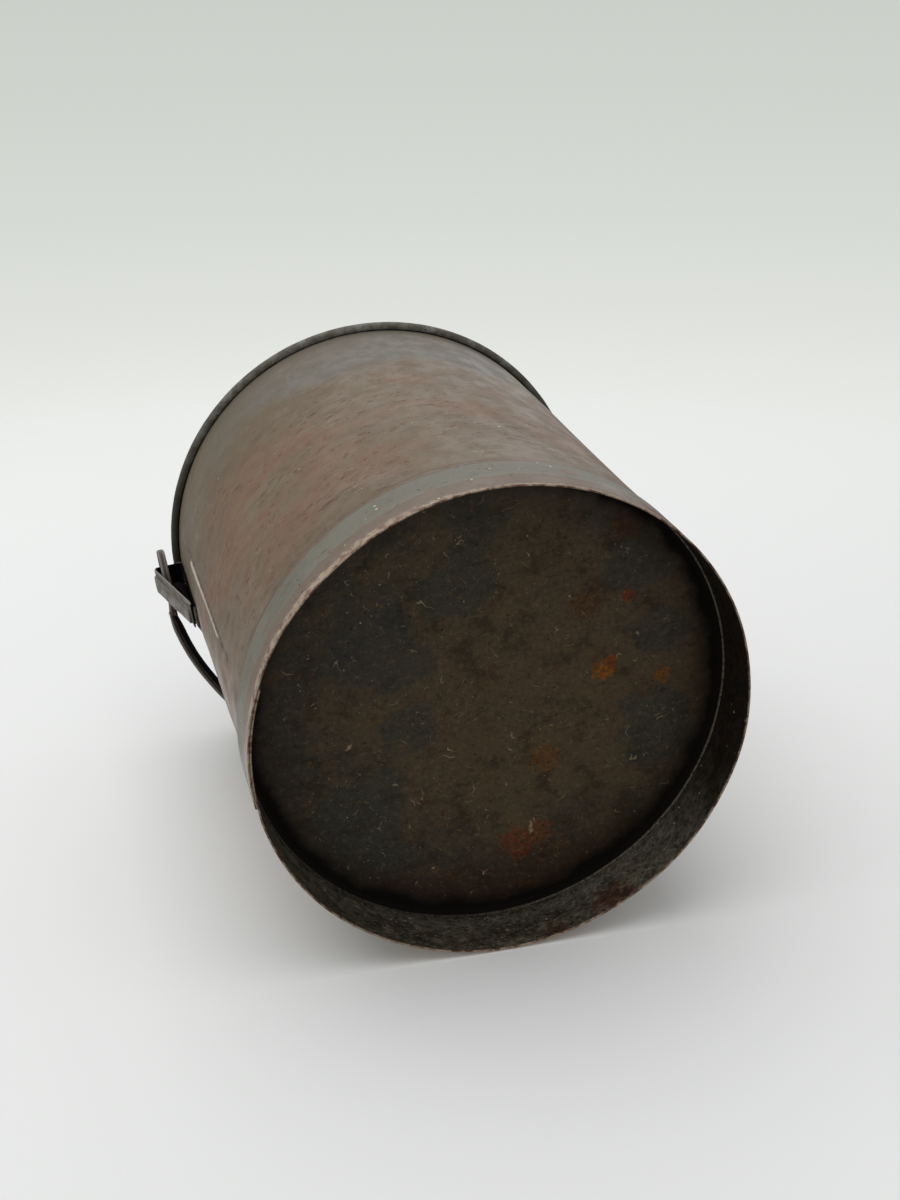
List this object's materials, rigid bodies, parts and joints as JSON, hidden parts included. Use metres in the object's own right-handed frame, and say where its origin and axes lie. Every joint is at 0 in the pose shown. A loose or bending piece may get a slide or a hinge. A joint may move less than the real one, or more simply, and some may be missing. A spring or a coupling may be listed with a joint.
{
  "type": "sand pail",
  "caption": "Round tapered tin pail with a wired rim, a recessed bottom inside a foot ring, and a hinged strip bail on two folded ears.",
  "frame": {"origin": "centre of the circle that the foot stands on", "axes": "+Z along the pail's axis to the rim, +X through the ears along the bail's hinge line, +Y towards the side where the bail hangs"},
  "size_m": [0.1488, 0.1367, 0.1504],
  "materials": {
    "painted_tin": "worn matt paint",
    "iron_wire": "dull",
    "bottom_tin": "oxidised, spotted with rust",
    "foot_tin": "worn matt paint",
    "solder": "dull grey",
    "ear_tin": "worn dull tin",
    "bail_tin": "worn dull tin"
  },
  "bodies": {
    "pail": {"body_sheet": "painted_tin", "rim_wire": "iron_wire", "bottom_pan": "bottom_tin", "foot_ring": "foot_tin", "bottom_solder": "solder", "foot_solder": "solder", "body_seam_solder": "solder", "foot_seam_solder": "solder", "ear_right": "ear_tin", "ear_right_upper_solder": "solder", "ear_right_lower_solder": "solder", "ear_left": "ear_tin", "ear_left_upper_solder": "solder", "ear_left_lower_solder": "solder"},
    "bail": {"bail": "bail_tin"}
  },
  "joints": [
    {"name": "bail_swing", "type": "hinge", "parent": "pail", "child": "bail", "pos_m": [0, 0, 0.143], "axis": [1, 0, 0], "range_deg": [0, 228]}
  ]
}
